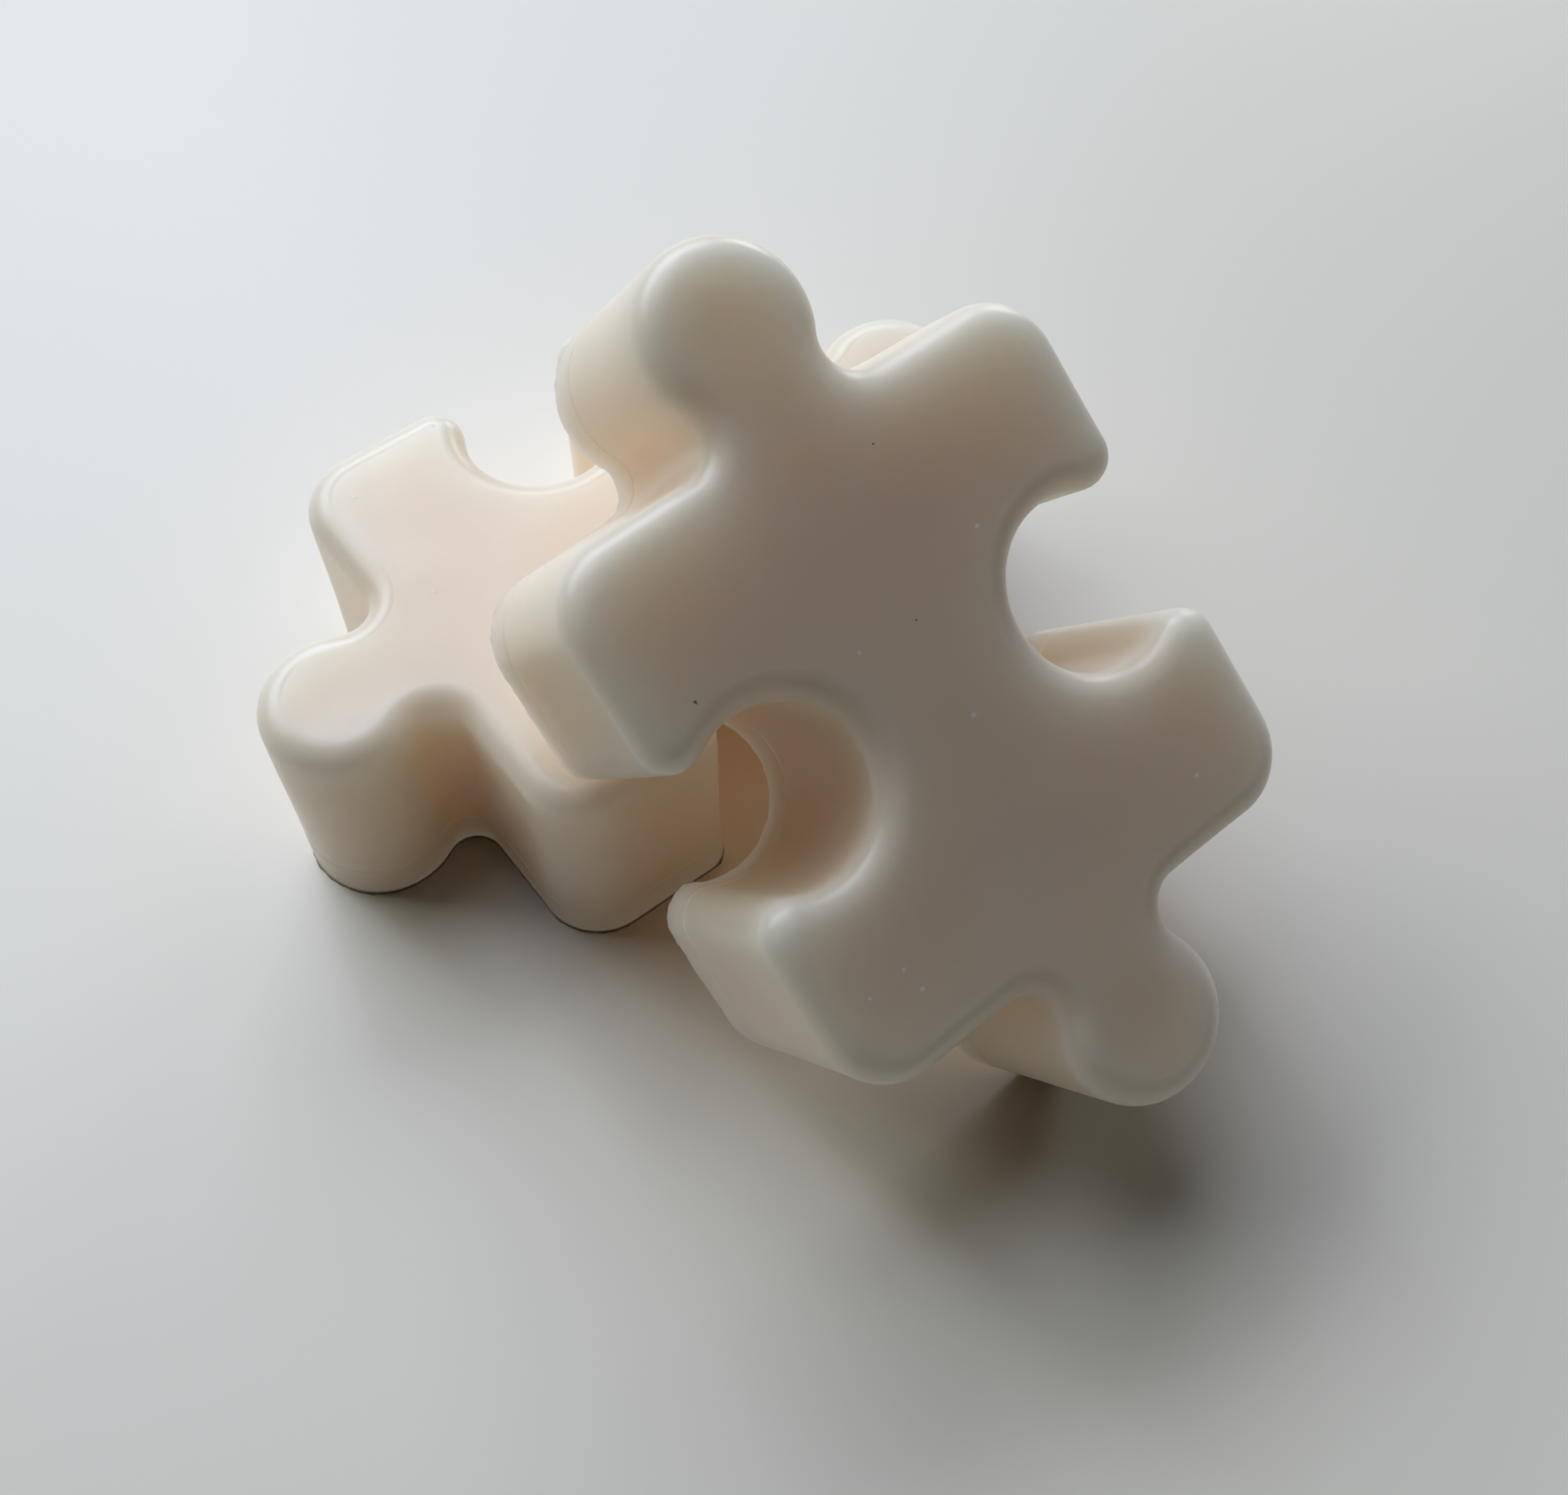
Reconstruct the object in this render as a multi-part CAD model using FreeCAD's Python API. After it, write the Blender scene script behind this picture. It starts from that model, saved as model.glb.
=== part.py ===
import FreeCAD, Part
import math
import os

# Two identical bars of soap, cast in the shape of jigsaw pieces. One lies on its flat pour
# face. The other leans on the first one's front edge, with the tip of a knob on the table.
#
# Millimetres, +Z up. The origin is the centre of the lying bar's underside. +X runs along
# that bar's knobs and +Y along its sockets, and the other bar leans at its -Y side.

# A bar's plan: a rectangle with a round knob on each of its two X sides, and a round socket
# of the same outline in each of its two Y sides, so that any two bars interlock.
BODY_X = 40.0          # between the two sides that carry the knobs
BODY_Y = 39.5          # between the two sides that hold the sockets
CORNER_R = 5.0         # the four outer corners
LOBE_R = 6.15          # knobs and sockets alike
LOBE_REACH = 6.6       # from a side out to its knob's centre, or in to its socket's centre
NECK_R = 2.4           # the curve that joins a knob or a socket to its side

# A bar's section: a sharp edge round the flat pour face, and a round one round the front.
THICKNESS = 20.9
FRONT_R = 2.0

# How the second bar leans, with its pour face on the first bar's front edge.
LEAN_DEG = 34.9        # its pour face above the table
SPIN_DEG = 2.0         # its line of knobs, turned in its own plane from straight downhill
SHIFT_X = 2.9          # its centre from the first one's, along X
REST_GAP = 0.1         # air left between the two bars

Z = FreeCAD.Vector(0, 0, 1)
BOTH_ENDS = (-1, 1)
HEIGHT_TOLERANCE = 1e-3


def midway(centre, radius, start, end):
    """The middle of the short arc about centre from start to end."""
    return centre + ((start - centre) + (end - centre)).normalize() * radius


def lobe(sign):
    """The arcs of a knob (sign 1) or a socket (sign -1) and its necks, as triples of points.

    Local x runs out of the side and local y along it, from the middle of the side.
    """
    centre = FreeCAD.Vector(sign * LOBE_REACH, 0, 0)
    tip = FreeCAD.Vector(sign * (LOBE_REACH + LOBE_R), 0, 0)
    neck_y = math.sqrt((LOBE_R + NECK_R) ** 2 - (LOBE_REACH - NECK_R) ** 2)
    necks = []
    for end in BOTH_ENDS:
        neck = FreeCAD.Vector(sign * NECK_R, end * neck_y, 0)
        on_side = FreeCAD.Vector(0, end * neck_y, 0)
        on_lobe = neck + (centre - neck).normalize() * NECK_R
        necks.append((on_side, midway(neck, NECK_R, on_side, on_lobe), on_lobe))
    first, last = necks
    return [first, (first[2], tip, last[2]), last[::-1]]


def side(turn_deg, distance, half_length, sign):
    """The edges of one side of the plan, and the rounded corner after it."""
    turn = FreeCAD.Rotation(Z, turn_deg)

    def place(point):
        return turn.multVec(FreeCAD.Vector(distance, 0, 0) + point)

    straight = half_length - CORNER_R
    start, end = FreeCAD.Vector(0, -straight, 0), FreeCAD.Vector(0, straight, 0)
    corner = FreeCAD.Vector(-CORNER_R, straight, 0)
    after = FreeCAD.Vector(-CORNER_R, half_length, 0)
    rounded = (end, midway(corner, CORNER_R, end, after), after)
    arcs = lobe(sign)

    edges = [Part.LineSegment(place(start), place(arcs[0][0]))]
    edges += [Part.Arc(*map(place, arc)) for arc in arcs]
    edges += [Part.LineSegment(place(arcs[-1][2]), place(end))]
    edges += [Part.Arc(*map(place, rounded))]
    return [edge.toShape() for edge in edges]


def soap_bar():
    """One bar lying on its pour face, centred on the origin."""
    outline = []
    for turn_deg in (0, 90, 180, 270):
        if turn_deg % 180 == 0:
            outline += side(turn_deg, BODY_X / 2, BODY_Y / 2, 1)
        else:
            outline += side(turn_deg, BODY_Y / 2, BODY_X / 2, -1)
    bar = Part.Face(Part.Wire(outline)).extrude(Z * THICKNESS)
    rim = [edge for edge in bar.Edges if edge.BoundBox.ZMin > THICKNESS - HEIGHT_TOLERANCE]
    return bar.makeFillet(FRONT_R, rim).Solids[0]


def leaning_placement():
    """Puts a bar's pour face on the first bar's front edge, and its lowest knob on the table."""
    lean, spin = math.radians(LEAN_DEG), math.radians(SPIN_DEG)
    outward = FreeCAD.Vector(0, -math.sin(lean), math.cos(lean))
    downhill = FreeCAD.Vector(0, -math.cos(lean), -math.sin(lean))
    knobs = downhill * math.cos(spin) + FreeCAD.Vector(math.sin(spin), 0, 0)
    sockets = outward.cross(knobs)

    # The first bar's front edge is a quarter round, so it reaches its radius past its centre
    # line whichever way the second bar leans.
    edge_y, edge_z = BODY_Y / 2 - FRONT_R, THICKNESS - FRONT_R
    support = edge_y * math.sin(lean) + edge_z * math.cos(lean) + FRONT_R + REST_GAP
    knob_x = BODY_X / 2 + LOBE_REACH
    height = (knob_x * math.cos(spin) + LOBE_R) * math.sin(lean)
    centre = FreeCAD.Vector(SHIFT_X, (support - outward.z * height) / outward.y, height)
    return FreeCAD.Placement(centre, FreeCAD.Rotation(knobs, sockets, outward, "ZXY"))


def leaning_bar():
    bar = soap_bar()
    bar.Placement = leaning_placement()
    return bar


NODES = {"lying_piece": soap_bar, "leaning_piece": leaning_bar}

os.makedirs("parts", exist_ok=True)
for node, make in NODES.items():
    make().exportStep("parts/" + node + ".step")
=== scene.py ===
"""Two cast soap bars in the shape of jigsaw pieces, one lying flat and one leaning on it."""
import math
import random

import bpy
import numpy as np
from mathutils import Matrix, Vector, noise
from mathutils.geometry import delaunay_2d_cdt


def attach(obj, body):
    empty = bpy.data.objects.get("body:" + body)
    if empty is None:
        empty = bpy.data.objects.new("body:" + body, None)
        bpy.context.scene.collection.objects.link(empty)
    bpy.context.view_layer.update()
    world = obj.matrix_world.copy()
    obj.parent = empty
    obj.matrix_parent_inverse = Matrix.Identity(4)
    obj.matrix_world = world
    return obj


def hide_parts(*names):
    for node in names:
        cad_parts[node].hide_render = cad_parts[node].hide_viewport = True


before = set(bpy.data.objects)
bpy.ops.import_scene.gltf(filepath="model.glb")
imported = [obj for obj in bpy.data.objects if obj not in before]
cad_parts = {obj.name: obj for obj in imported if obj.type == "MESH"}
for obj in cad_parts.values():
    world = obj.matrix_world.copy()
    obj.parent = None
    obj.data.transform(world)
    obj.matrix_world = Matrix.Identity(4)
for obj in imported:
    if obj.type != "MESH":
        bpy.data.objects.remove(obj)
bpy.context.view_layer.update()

MM = 0.001

# ---------------------------------------------------------------- a bar's shape, in metres

BODY_X = 40.0 * MM         # between the two sides that carry the knobs
BODY_Y = 39.5 * MM         # between the two sides that hold the sockets
CORNER_R = 5.0 * MM
LOBE_R = 6.15 * MM         # knobs and sockets alike
LOBE_REACH = 6.6 * MM      # from a side to the centre of its knob or socket
NECK_R = 2.4 * MM          # inner curve between a side and its knob or socket
THICKNESS = 20.9 * MM      # from the pour face, at z = 0, to the front face
FRONT_R = 2.0 * MM         # round edge of the front face

LEAN = math.radians(34.9)  # between the leaning bar's pour face and the floor
SPIN = math.radians(2.0)   # its line of knobs, turned from straight downhill
SHIFT_X = 2.9 * MM         # its middle, sideways from the lying bar's middle
REST_GAP = 0.1 * MM        # between the two bars

OUTLINE_STEP = 0.35 * MM   # between the mesh's points round the outline
FACE_STEP = 0.6 * MM       # between its points across a face


def arc(centre, radius, start, end):
    """Points of an arc and the directions from its centre, without its last point."""
    count = max(2, math.ceil(abs(end - start) * radius / OUTLINE_STEP))
    turn = np.exp(1j * np.linspace(start, end, count, endpoint=False))
    return centre + radius * turn, turn


def line(start, end):
    """Points of a line that runs along a side, without its last point."""
    count = max(2, math.ceil(abs(end - start) / OUTLINE_STEP))
    return np.linspace(start, end, count, endpoint=False), np.ones(count, complex)


def knob():
    """A knob and its two necks. Real numbers run out of the side, and imaginary ones along it."""
    neck_y = math.sqrt((LOBE_R + NECK_R) ** 2 - (LOBE_REACH - NECK_R) ** 2)
    lean_in = math.atan2(neck_y, LOBE_REACH - NECK_R)
    first, first_turn = arc(NECK_R - 1j * neck_y, NECK_R, math.pi, lean_in)
    round_it, round_turn = arc(LOBE_REACH, LOBE_R, lean_in - math.pi, math.pi - lean_in)
    last, last_turn = arc(NECK_R + 1j * neck_y, NECK_R, -lean_in, -math.pi)
    points = np.concatenate([first, round_it, last])
    return neck_y, points, np.concatenate([-first_turn, round_turn, -last_turn])


def outline():
    """The bar's plan as complex numbers, anticlockwise, and its outward normals."""
    neck_y, knob_points, knob_normals = knob()
    points, normals = [], []
    for quarter in range(4):
        if quarter % 2 == 0:
            out, half, lobe = BODY_X / 2, BODY_Y / 2, (knob_points, knob_normals)
        else:
            out, half = BODY_Y / 2, BODY_X / 2
            lobe = (-knob_points.conj(), knob_normals.conj())
        straight = half - CORNER_R
        turn = 1j ** quarter
        pieces = [
            line(-1j * straight, -1j * neck_y),
            lobe,
            line(1j * neck_y, 1j * straight),
            arc(-CORNER_R + 1j * straight, CORNER_R, 0, math.pi / 2),
        ]
        for p, n in pieces:
            points.append(turn * (out + p))
            normals.append(turn * n)
    return np.concatenate(points), np.concatenate(normals)


PLAN, PLAN_NORMALS = outline()


def leaning_placement():
    """Where the leaning bar lies: its pour face on the lying bar's round front edge."""
    outward = Vector((0, -math.sin(LEAN), math.cos(LEAN)))
    downhill = Vector((0, -math.cos(LEAN), -math.sin(LEAN)))
    knobs = downhill * math.cos(SPIN) + Vector((1, 0, 0)) * math.sin(SPIN)
    sockets = outward.cross(knobs)
    edge_y, edge_z = BODY_Y / 2 - FRONT_R, THICKNESS - FRONT_R
    support = edge_y * math.sin(LEAN) + edge_z * math.cos(LEAN) + FRONT_R + REST_GAP
    height = ((BODY_X / 2 + LOBE_REACH) * math.cos(SPIN) + LOBE_R) * math.sin(LEAN)
    centre = Vector((SHIFT_X, (support - outward.z * height) / outward.y, height))
    turn = Matrix((knobs, sockets, outward)).transposed().to_4x4()
    return Matrix.Translation(centre) @ turn


# ---------------------------------------------------------------- the mesh of one bar

RING_Z = 3.8 * MM          # a faint step round the wall, where the mould's lip began
RING_STEP = 0.045 * MM
FLASH = 0.18 * MM          # ragged thin lip round the pour face
FINE_RAGS = (0.9, 0.6 * MM)  # the flash's raggedness: its strength and its wave length
COARSE_RAGS = (0.5, 2.4 * MM)
FLASH_MEAN, FLASH_LOW = 0.15, -0.2  # shares of FLASH
BEAD = 0.07 * MM           # faint step where the front's round edge meets its flat
BEAD_LENGTH = 7 * MM       # wave length, along the outline, of how plain that step is
BEAD_MEAN, BEAD_SWING = 0.4, 1.2  # shares of BEAD
BEAD_WIDTHS = (0.14 * MM, 0.26 * MM)  # its rings of points, in from the round edge
MENISCUS = 0.3 * MM        # the pour face sinks this far inside its rim
MENISCUS_REACH = 2.2 * MM
MENISCUS_CURVE = 1.5
SINK = 0.12 * MM           # hollow in the front of each knob, where the soap shrank
SINK_R = 2.8 * MM
WAVE = 0.09 * MM           # gentle unevenness of every surface
WAVE_LENGTH = 9.0 * MM
SHARP_ANGLE = math.radians(50)  # edges sharper than this aren't smoothed
LYING_SEED, LEANING_SEED = 3, 57
COARSE_SEED, BEAD_SEED, AXIS_SEED = 9, 20, 31  # added to a bar's seed, so that no noise repeats

# Rings of points up the wall. Heights are in mm.
FLASH_RINGS = ((0, 0.6), (0.07, 1), (0.16, 0.7), (0.3, 0.25), (0.5, 0))  # height, share of the flash
FOOT_RINGS = (1.3, 2.2, 3.0, 3.5, 3.65)  # all of them RING_STEP outside the plan
STEP_RINGS = ((3.74, 0.6), (3.8, -0.5), (3.88, -0.6), (3.98, -0.2), (4.2, 0))  # share of RING_STEP
WALL_RINGS = 12            # from the step to the front's round edge
FRONT_RINGS = 13           # over that edge

# Small round marks on the faces: how many, their radii and their depths.
BUBBLES = (34, (0.15 * MM, 0.5 * MM), (0.08 * MM, 0.3 * MM))
# Raised nicks on the front face. Their near-white colour, further down, is a painted glint of the
# light they catch.
GLINT_FLAKES = (7, (0.08 * MM, 0.15 * MM), (-0.04 * MM, -0.02 * MM))
GRAINS = (4, (0.05 * MM, 0.09 * MM), (-0.03 * MM, -0.02 * MM))
SPOT_RINGS = (0.35, 0.7, 1.0, 1.35)  # circles of points round a mark, in its radii
SPOT_POINTS = 12           # on each of those circles
SPOT_CLEARING = (1.6, 0.2)  # no other point is nearer to a mark, in its radii plus FACE_STEPs
EDGE_SLACK = 1.01          # so that rounding leaves no point of a mark's edge out
INSIDE_ONLY = 1            # Blender's triangulation: keep just the triangles inside the rim
SAME_PLACE = 1e-9


def wobble(points, length, seed):
    """Smooth noise at points, one value each from about -1 to 1."""
    return np.array([noise.noise(Vector(p) / length + Vector((seed, 0, 0))) for p in points])


def flat_points(plan):
    """A plan's complex numbers as points at z = 0."""
    return np.stack([plan.real, plan.imag, np.zeros(len(plan))], 1)


def depth_inside(grid, rim):
    """How far each grid point lies inside the rim. Points outside it get a negative depth."""
    nearest = np.abs(grid[:, None] - rim[None]).argmin(1)
    gap = rim[nearest] - grid
    outward = (gap * PLAN_NORMALS[nearest].conj()).real
    return np.copysign(np.abs(gap), outward)


def wall_section(seed):
    """Rings up the wall: how far each point stands out of the plan, and its height."""
    rim = flat_points(PLAN)
    (fine, fine_length), (coarse, coarse_length) = FINE_RAGS, COARSE_RAGS
    ragged = fine * wobble(rim, fine_length, seed)
    ragged += coarse * wobble(rim, coarse_length, seed + COARSE_SEED)
    flash = FLASH * np.clip(FLASH_MEAN + ragged, FLASH_LOW, 1)
    plain = BEAD_MEAN + BEAD_SWING * wobble(rim, BEAD_LENGTH, seed + BEAD_SEED)
    bead = BEAD * np.clip(plain, 0, 1)
    rings = []
    for height, share in FLASH_RINGS:
        rings.append((RING_STEP + share * flash, height * MM))
    for height in FOOT_RINGS:
        rings.append((RING_STEP, height * MM))
    for height, share in STEP_RINGS:
        rings.append((share * RING_STEP, height * MM))
    wall_top = THICKNESS - FRONT_R
    for t in np.linspace(0, 1, WALL_RINGS)[1:]:
        rings.append((0, RING_Z + t * (wall_top - RING_Z)))
    for angle in np.linspace(0, math.pi / 2, FRONT_RINGS)[1:]:
        rings.append((FRONT_R * (math.cos(angle) - 1), wall_top + FRONT_R * math.sin(angle)))
    for width in BEAD_WIDTHS:
        rings.append((-FRONT_R - width, THICKNESS - bead))
    return rings


def cap(rim, spots):
    """Fills a closed rim with triangles on a grid of points that is closer round each spot."""
    rows = np.arange(rim.imag.min(), rim.imag.max(), FACE_STEP * math.sqrt(3) / 2)
    grid = []
    for i, y in enumerate(rows):
        shift = FACE_STEP / 2 * (i % 2)
        grid.append(np.arange(rim.real.min() + shift, rim.real.max(), FACE_STEP) + 1j * y)
    grid = np.concatenate(grid)
    circle = np.exp(2j * math.pi * np.arange(SPOT_POINTS) / SPOT_POINTS)
    radii, steps = SPOT_CLEARING
    for centre, radius, _ in spots:
        grid = grid[np.abs(grid - centre) > radii * radius + steps * FACE_STEP]
        marks = [centre + share * radius * circle for share in SPOT_RINGS]
        grid = np.concatenate([grid, [centre], *marks])
    depth = depth_inside(grid, rim)
    grid, depth = grid[depth > FACE_STEP / 2], depth[depth > FACE_STEP / 2]
    points = [Vector((p.real, p.imag)) for p in np.concatenate([rim, grid])]
    rim_face = list(range(len(rim)))
    made = delaunay_2d_cdt(points, [], [rim_face], INSIDE_ONLY, SAME_PLACE)
    triangles, origins = made[2:4]
    order = [ids[0] for ids in origins]
    return grid, depth, [[order[i] for i in triangle] for triangle in triangles]


def scatter(rng, count, radii, depths):
    """Random small round marks on a face: centre, radius and depth."""
    spots = []
    while len(spots) < count:
        centre = complex(rng.uniform(-0.5, 0.5) * BODY_X, rng.uniform(-0.5, 0.5) * BODY_Y)
        radius = rng.uniform(*radii)
        clear = all(abs(centre - other) > 2 * (radius + size) for other, size, _ in spots)
        if clear and depth_inside(np.array([centre]), PLAN)[0] > FRONT_R + 3 * radius:
            spots.append((centre, radius, rng.uniform(*depths)))
    return spots


def dents(grid, spots):
    """How deep the round marks are at each point."""
    depth = np.zeros(len(grid))
    for centre, radius, deep in spots:
        share = np.clip(np.abs(grid - centre) / (SPOT_RINGS[-1] * radius), 0, 1)
        depth += deep * (1 - share ** 2) ** 2
    return depth


def covered(grid, spots):
    """1 where a point lies on one of the small marks, and 0 elsewhere."""
    share = np.zeros(len(grid))
    for centre, radius, _ in spots:
        share[np.abs(grid - centre) < EDGE_SLACK * radius] = 1
    return share


def pour_face(grid, depth, bubbles):
    """Heights on the pour face: sunk inside its rim, and pitted by small bubbles."""
    sunk = MENISCUS * (1 - np.exp(-(depth / MENISCUS_REACH) ** MENISCUS_CURVE))
    return sunk + dents(grid, bubbles)


def front_face(grid, marks):
    """Heights on the front face: flat but for a hollow in each knob, and for raised flakes (tinted
    near-white as a painted glint) and dust.
    """
    height = THICKNESS - BEAD / 2 - dents(grid, marks)
    for side in (-1, 1):
        knob_centre = side * (BODY_X / 2 + LOBE_REACH)
        height -= SINK * np.exp(-(np.abs(grid - knob_centre) / SINK_R) ** 2)
    return height


def bar_mesh(name, seed, placement):
    """One bar in its place: its wall, ring by ring, then its pour face and its front face."""
    rng = random.Random(seed)
    bubbles = scatter(rng, *BUBBLES)
    marks = {"flake_glint": scatter(rng, *GLINT_FLAKES), "dust": scatter(rng, *GRAINS)}
    count = len(PLAN)
    points, faces = [], []
    for out, height in wall_section(seed):
        ring = flat_points(PLAN + out * PLAN_NORMALS)
        ring[:, 2] = height
        points.append(ring)
    for k in range(len(points) - 1):
        for i in range(count):
            j = (i + 1) % count
            faces.append([k * count + i, k * count + j, (k + 1) * count + j, (k + 1) * count + i])
    wall_rings = len(points)
    size = wall_rings * count
    tints = {mark: [np.zeros(size)] for mark in marks}
    for level, spots in ((0, bubbles), (wall_rings - 1, marks["flake_glint"] + marks["dust"])):
        grid, depth, triangles = cap(points[level][:, 0] + 1j * points[level][:, 1], spots)
        face = flat_points(grid)
        face[:, 2] = front_face(grid, spots) if level else pour_face(grid, depth, spots)
        points.append(face)
        for mark in marks:
            tints[mark].append(covered(grid, marks[mark] if level else ()))
        for triangle in triangles:
            ids = [level * count + i if i < count else size + i - count for i in triangle]
            faces.append(ids if level else ids[::-1])
        size += len(grid)
    points = np.concatenate(points)
    shift = np.stack([wobble(points, WAVE_LENGTH, seed + AXIS_SEED * axis) for axis in range(3)], 1)
    shift[:, 2] *= np.clip(points[:, 2] / RING_Z, 0, 1)
    points += WAVE * shift

    mesh = bpy.data.meshes.new(name)
    mesh.from_pydata(points.tolist(), [], faces)
    mesh.transform(placement)
    for mark, values in tints.items():
        attribute = mesh.attributes.new(mark, "FLOAT", "POINT")
        attribute.data.foreach_set("value", np.concatenate(values))
    mesh.polygons.foreach_set("use_smooth", np.ones(len(mesh.polygons), bool))
    mesh.set_sharp_from_angle(angle=SHARP_ANGLE)
    piece = bpy.data.objects.new(name, mesh)
    bpy.context.scene.collection.objects.link(piece)
    return piece


# ---------------------------------------------------------------- the soap

CREAM = (0.89, 0.73, 0.555, 1)
CREAM_PALE = (0.905, 0.76, 0.595, 1)
# Painted glint: the raised flakes are tinted near-white to stand in for the light they catch.
FLAKE_GLINT = (0.98, 0.96, 0.92, 1)
DUST = (0.22, 0.16, 0.11, 1)
SCATTER = (9.0 * MM, 10.0 * MM, 11.0 * MM)  # how far red, green and blue travel in the soap
GLOSS = (0.285, 0.35)      # roughness, from the smoothest skin to the driest
CLOUDS = (14 * MM, 3)      # size of the paler clouds, and the noise's detail
SMEARS = (5 * MM, 4)       # the same for the patches of smoother skin
BUMPS = ((1.6 * MM, 0.012 * MM), (0.35 * MM, 0.0025 * MM))  # size and height
BUMP_DETAIL = 2
NOISE_SPAN = (0.35, 0.65)  # where nearly all of a noise node's values lie


def noise_node(nodes, links, place, size, detail):
    """Noise whose features are about the given size."""
    node = nodes.new("ShaderNodeTexNoise")
    node.inputs["Scale"].default_value = 1 / size
    node.inputs["Detail"].default_value = detail
    links.new(place, node.inputs["Vector"])
    return node.outputs["Fac"]


def mixed(nodes, links, share, first, second):
    """The colour between two others. Each may be a colour or a socket."""
    node = nodes.new("ShaderNodeMix")
    node.data_type = "RGBA"
    links.new(share, node.inputs["Factor"])
    for name, value in (("A", first), ("B", second)):
        socket = next(s for s in node.inputs if s.name == name and s.type == "RGBA")
        if isinstance(value, tuple):
            socket.default_value = value
        else:
            links.new(value, socket)
    return next(s for s in node.outputs if s.type == "RGBA")


def spread(nodes, links, value, low, high, new_low, new_high):
    """The value, stretched from one range to another."""
    node = nodes.new("ShaderNodeMapRange")
    links.new(value, node.inputs["Value"])
    node.inputs["From Min"].default_value = low
    node.inputs["From Max"].default_value = high
    node.inputs["To Min"].default_value = new_low
    node.inputs["To Max"].default_value = new_high
    return node.outputs["Result"]


def soap_material():
    """Milky soap: light travels some millimetres inside it, under a satin skin."""
    material = bpy.data.materials.new("milky_soap")
    material.use_nodes = True
    nodes, links = material.node_tree.nodes, material.node_tree.links
    shader = nodes["Principled BSDF"]
    shader.inputs["Subsurface Weight"].default_value = 1.0
    shader.inputs["Subsurface Radius"].default_value = SCATTER
    shader.inputs["Subsurface Scale"].default_value = 1.0
    place = nodes.new("ShaderNodeTexCoord").outputs["Object"]

    clouds = spread(nodes, links, noise_node(nodes, links, place, *CLOUDS), *NOISE_SPAN, 0, 1)
    cream = mixed(nodes, links, clouds, CREAM, CREAM_PALE)
    # The flakes' near-white tint is a painted glint. The dust's dark tint is real dirt.
    for name, tint in (("flake_glint", FLAKE_GLINT), ("dust", DUST)):
        marked = nodes.new("ShaderNodeAttribute")
        marked.attribute_name = name
        cream = mixed(nodes, links, marked.outputs["Fac"], cream, tint)
    links.new(cream, shader.inputs["Base Color"])

    smears = noise_node(nodes, links, place, *SMEARS)
    links.new(spread(nodes, links, smears, *NOISE_SPAN, *GLOSS), shader.inputs["Roughness"])

    surface = None
    for size, height in BUMPS:
        bump = nodes.new("ShaderNodeBump")
        bump.inputs["Distance"].default_value = height
        links.new(noise_node(nodes, links, place, size, BUMP_DETAIL), bump.inputs["Height"])
        if surface:
            links.new(surface, bump.inputs["Normal"])
        surface = bump.outputs["Normal"]
    links.new(surface, shader.inputs["Normal"])
    return material


soap = soap_material()
for node, body, seed, placement in (
    ("lying_piece", "lying_bar", LYING_SEED, Matrix.Identity(4)),
    ("leaning_piece", "leaning_bar", LEANING_SEED, leaning_placement()),
):
    bar = bar_mesh(body, seed, placement)
    bar.data.materials.append(soap)
    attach(bar, body)
    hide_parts(node)

# ---------------------------------------------------------------- floor, lights and camera

FLOOR_REACH = 1.5          # metres
FLOOR_PAINT = (0.94, 0.87, 0.75, 1)
FLOOR_GLOSS = 0.38         # roughness


def floor_plane():
    """A plain pale floor with a soft satin gloss."""
    mesh = bpy.data.meshes.new("floor")
    r = FLOOR_REACH
    mesh.from_pydata([(-r, -r, 0), (r, -r, 0), (r, r, 0), (-r, r, 0)], [], [(0, 1, 2, 3)])
    plane = bpy.data.objects.new("floor", mesh)
    bpy.context.scene.collection.objects.link(plane)
    paint = bpy.data.materials.new("floor_paint")
    paint.use_nodes = True
    shader = paint.node_tree.nodes["Principled BSDF"]
    shader.inputs["Base Color"].default_value = FLOOR_PAINT
    shader.inputs["Roughness"].default_value = FLOOR_GLOSS
    mesh.materials.append(paint)
    return plane


floor_plane()

GLOW = (1, 0.8, 0.6, 1)
GLOW_STRENGTH = 0.18
GLOW_INSET = 0.4 * MM      # from the lying bar's outline
GLOW_Z = 0.01 * MM         # above the floor, in the gap under the sunken pour face


def contact_glow():
    """A faint sheet of light under the lying bar. It stands for the light that soap and floor
    pass to and fro where they touch. Without it the bar's foot renders black."""
    rim = flat_points(PLAN - GLOW_INSET * PLAN_NORMALS)
    rim[:, 2] = GLOW_Z
    mesh = bpy.data.meshes.new("contact_glow")
    mesh.from_pydata(rim.tolist(), [], [list(range(len(rim)))])
    sheet = bpy.data.objects.new("contact_glow", mesh)
    bpy.context.scene.collection.objects.link(sheet)
    light = bpy.data.materials.new("contact_light")
    light.use_nodes = True
    shader = light.node_tree.nodes["Principled BSDF"]
    shader.inputs["Base Color"].default_value = (0, 0, 0, 1)
    shader.inputs["Emission Color"].default_value = GLOW
    shader.inputs["Emission Strength"].default_value = GLOW_STRENGTH
    mesh.materials.append(light)
    return sheet


contact_glow()

LIGHT_DISTANCE = 1.3       # metres
COOL = (0.75, 0.83, 1)
WHITE = (0.91, 1, 0.99)
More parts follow.
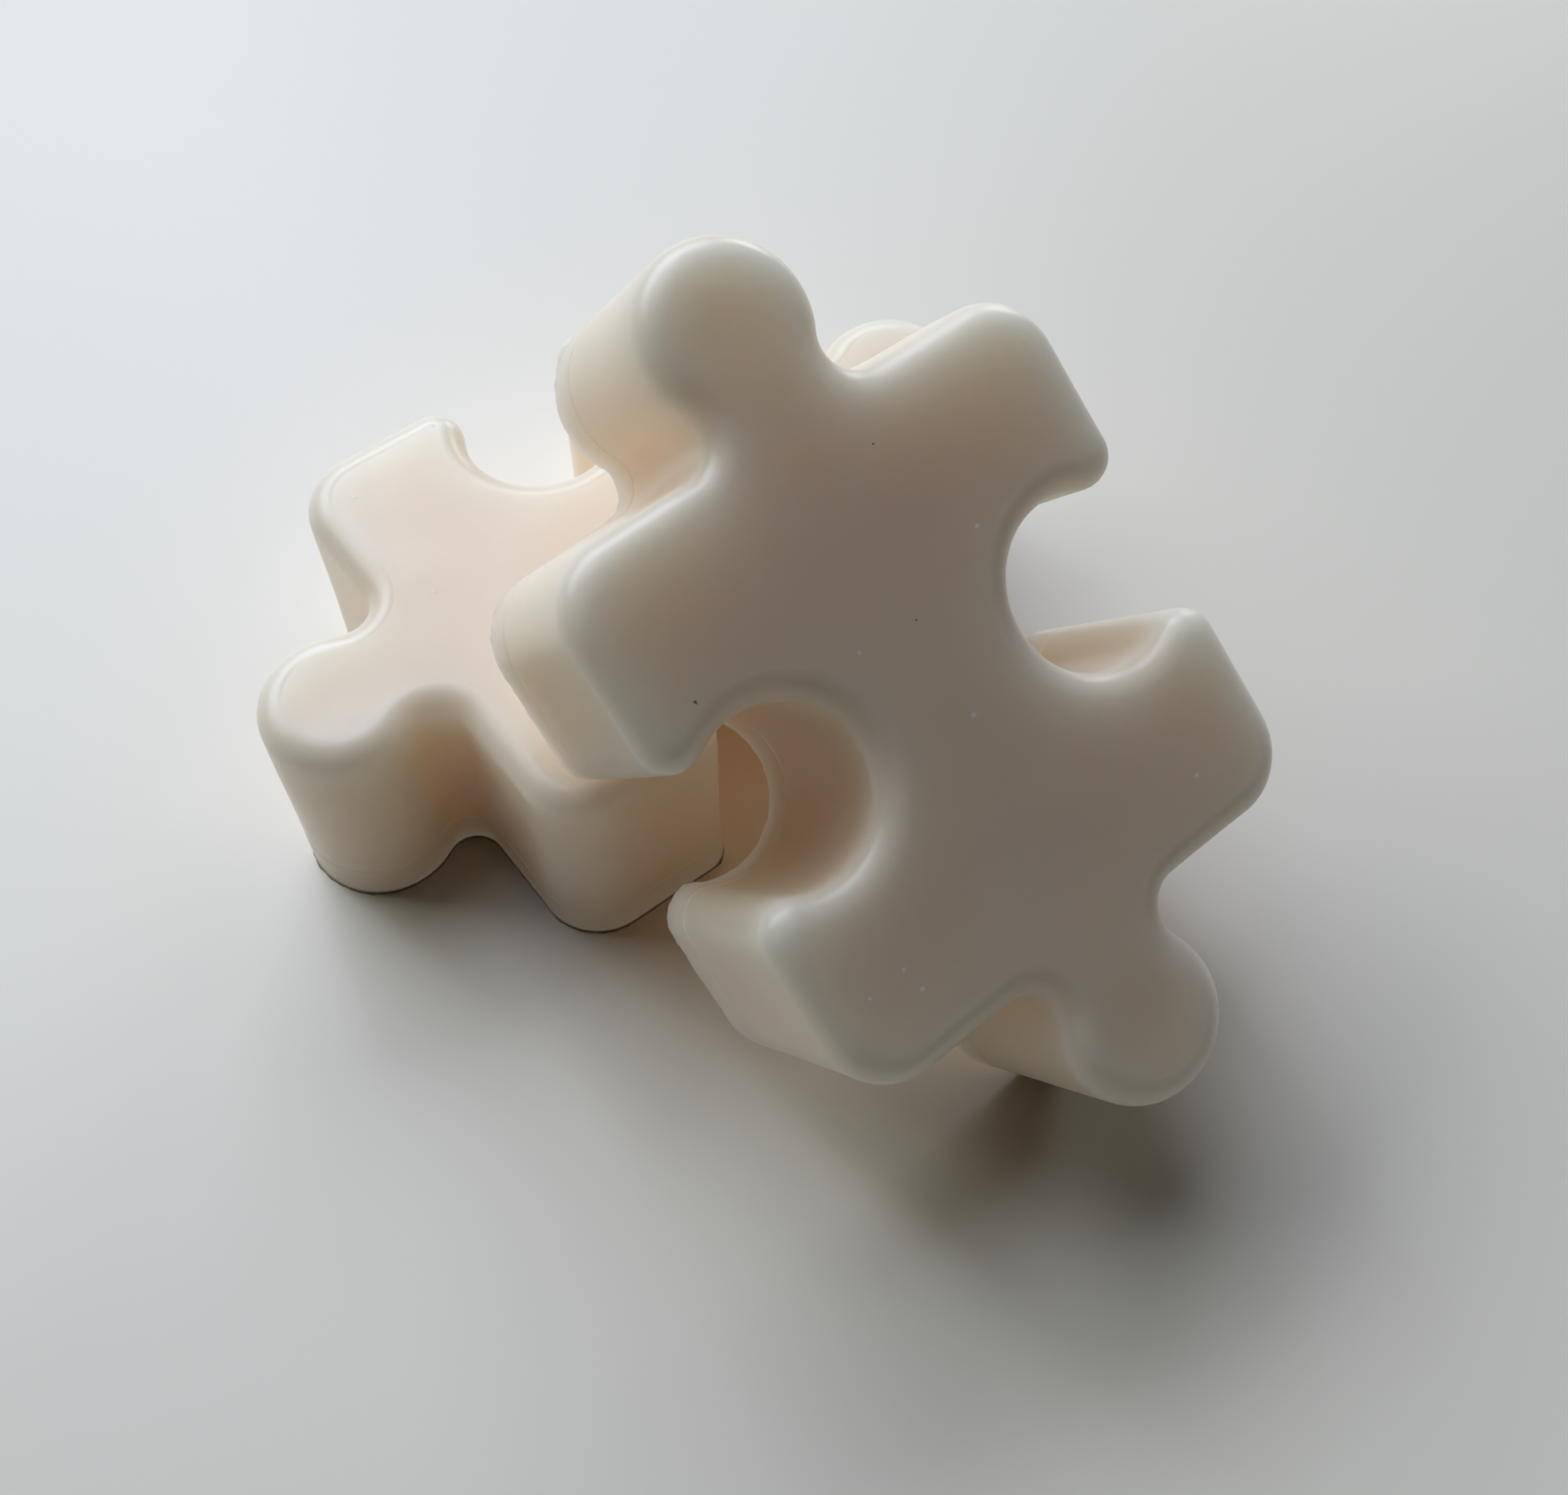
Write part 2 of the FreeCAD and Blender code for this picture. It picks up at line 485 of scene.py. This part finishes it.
# A row of soft boxes beyond the bars, like the panes of a window, and a low one at their side:
# azimuth (0 is +X and 90 is +Y), elevation, side length in metres, watts and colour.
SOFT_BOXES = (
    (60, 40, 0.65, 5.4, COOL),
    (90, 40, 0.65, 6.3, COOL),
    (120, 40, 0.65, 3.9, WHITE),
    (90, 68, 0.65, 3.1, COOL),
    (30, 14, 0.45, 3.1, WHITE),
)
BACKDROP = (0.5, 0.51, 0.52, 1)  # only the camera sees it
LIGHT_BOUNCES = 12         # enough for the light between the two bars and in their recesses


def soft_box(azimuth, elevation, size, power, color):
    """A square soft box that faces the bars."""
    a, e = math.radians(azimuth), math.radians(elevation)
    data = bpy.data.lights.new("soft_box", "AREA")
    data.shape = "SQUARE"
    data.size = size
    data.energy = power
    data.color = color
    lamp = bpy.data.objects.new("soft_box", data)
    away = Vector((math.cos(a) * math.cos(e), math.sin(a) * math.cos(e), math.sin(e)))
    lamp.location = away * LIGHT_DISTANCE
    lamp.rotation_euler = (-away).to_track_quat("-Z", "Y").to_euler()
    bpy.context.scene.collection.objects.link(lamp)


for box in SOFT_BOXES:
    soft_box(*box)

world = bpy.data.worlds.new("studio")
bpy.context.scene.world = world
world.use_nodes = True
world.node_tree.nodes["Background"].inputs["Color"].default_value = BACKDROP
world.cycles_visibility.diffuse = False
world.cycles_visibility.glossy = False
bpy.context.scene.cycles.diffuse_bounces = LIGHT_BOUNCES

CAMERA_PLACE = (-44.68 * MM, -77.05 * MM, 135.23 * MM)
CAMERA_AZIMUTH = 51.97     # where it looks, in degrees from +X towards +Y
CAMERA_DIP = 59.41         # below the horizontal
CAMERA_ROLL = 0.6
CAMERA_LENS = 41.94        # in millimetres, like SENSOR_WIDTH
SENSOR_WIDTH = 36
NEAR_CLIP = 0.01           # metres

camera_data = bpy.data.cameras.new("camera")
camera_data.sensor_width = SENSOR_WIDTH
camera_data.lens = CAMERA_LENS
camera_data.clip_start = NEAR_CLIP
camera = bpy.data.objects.new("camera", camera_data)
camera.matrix_world = (
    Matrix.Translation(CAMERA_PLACE)
    @ Matrix.Rotation(math.radians(CAMERA_AZIMUTH - 90), 4, "Z")
    @ Matrix.Rotation(math.radians(90 - CAMERA_DIP), 4, "X")
    @ Matrix.Rotation(math.radians(CAMERA_ROLL), 4, "Z")
)
bpy.context.scene.collection.objects.link(camera)
bpy.context.scene.camera = camera
bpy.context.scene.view_settings.view_transform = "Standard"
